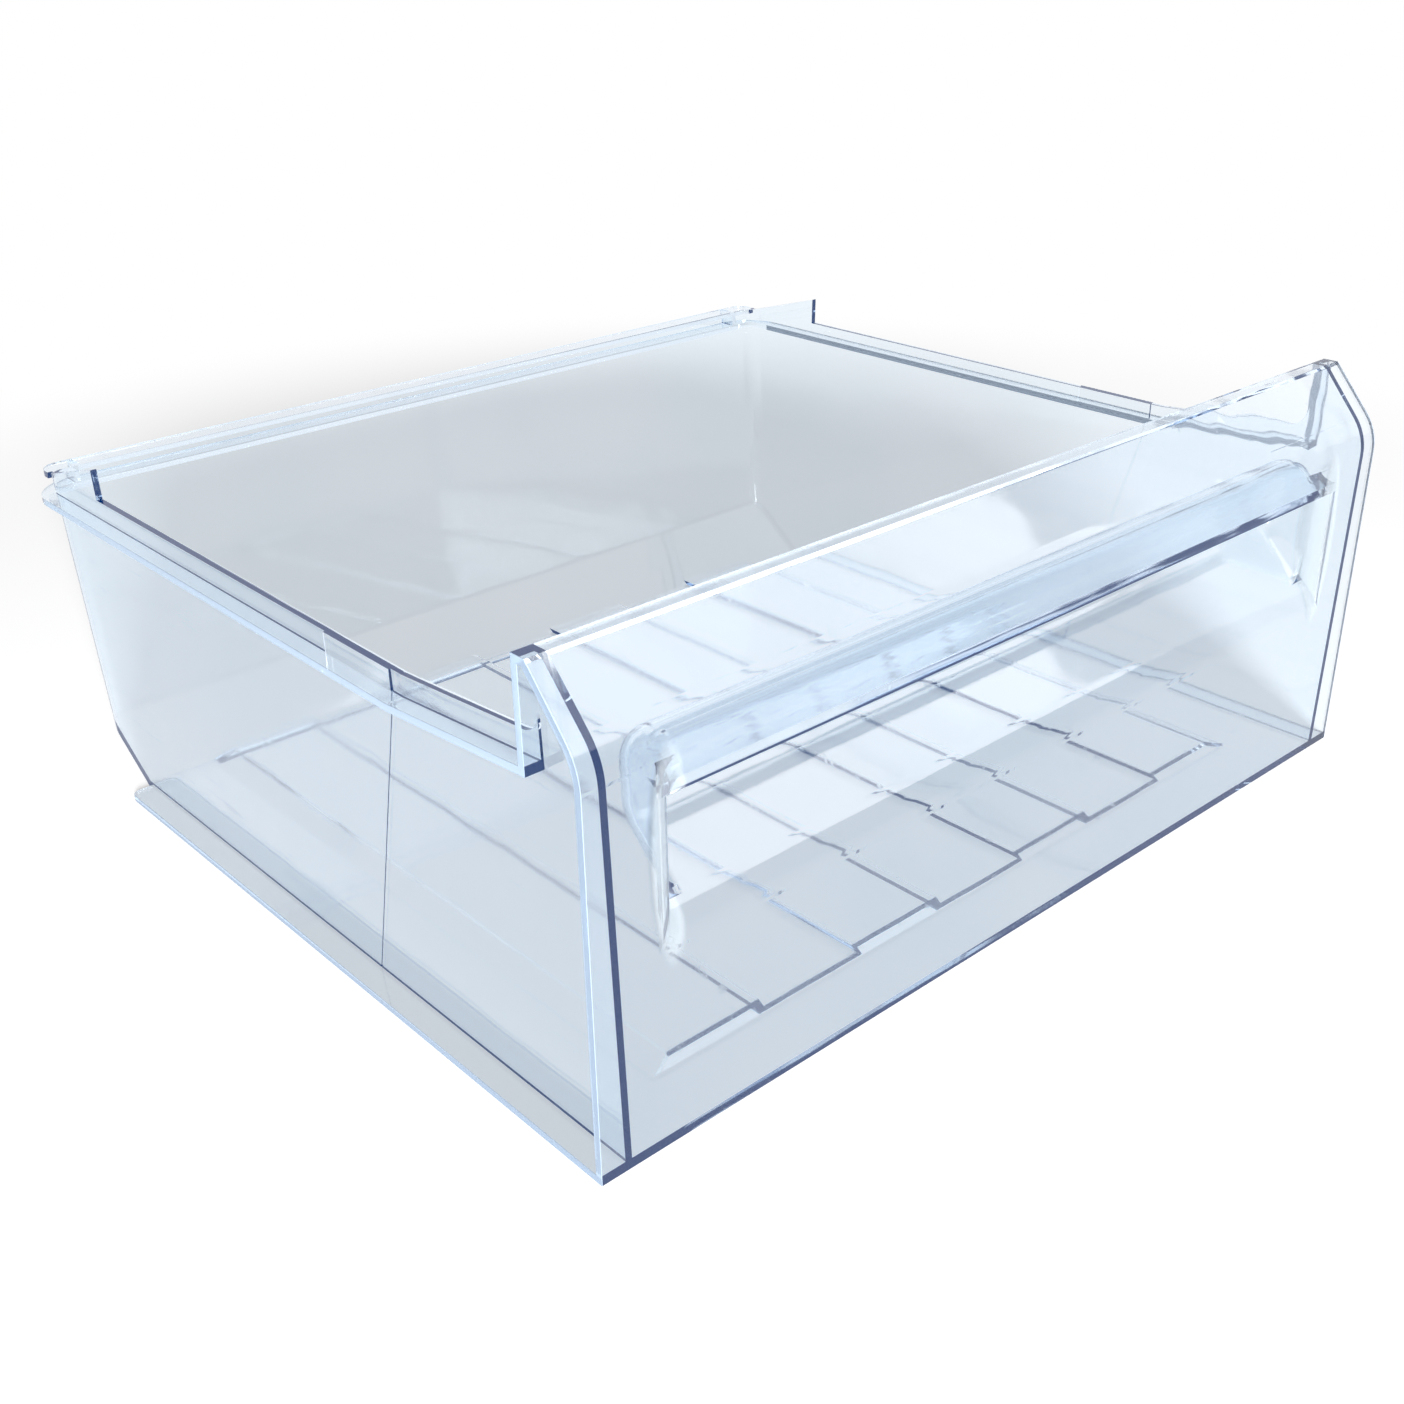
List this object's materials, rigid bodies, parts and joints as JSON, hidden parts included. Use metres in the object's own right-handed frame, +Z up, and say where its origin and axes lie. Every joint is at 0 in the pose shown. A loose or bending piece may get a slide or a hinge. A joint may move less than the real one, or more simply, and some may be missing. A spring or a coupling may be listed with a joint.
{
  "type": "freezer drawer",
  "caption": "Clear moulded freezer drawer: open box with side rails, rear stops, foot flanges, stepped floor and a wider front panel that leans back over a finger recess",
  "frame": {"origin": "on the ground under the middle of the drawer's box", "axes": "+X across the drawer to the right as seen from the front, +Y from the front panel to the rear, +Z up"},
  "size_m": [0.405, 0.364, 0.1625],
  "materials": {
    "clear_plastic": "clear blue-tinted polystyrene, polished"
  },
  "bodies": {
    "root": {"drawer": "clear_plastic"}
  },
  "joints": []
}
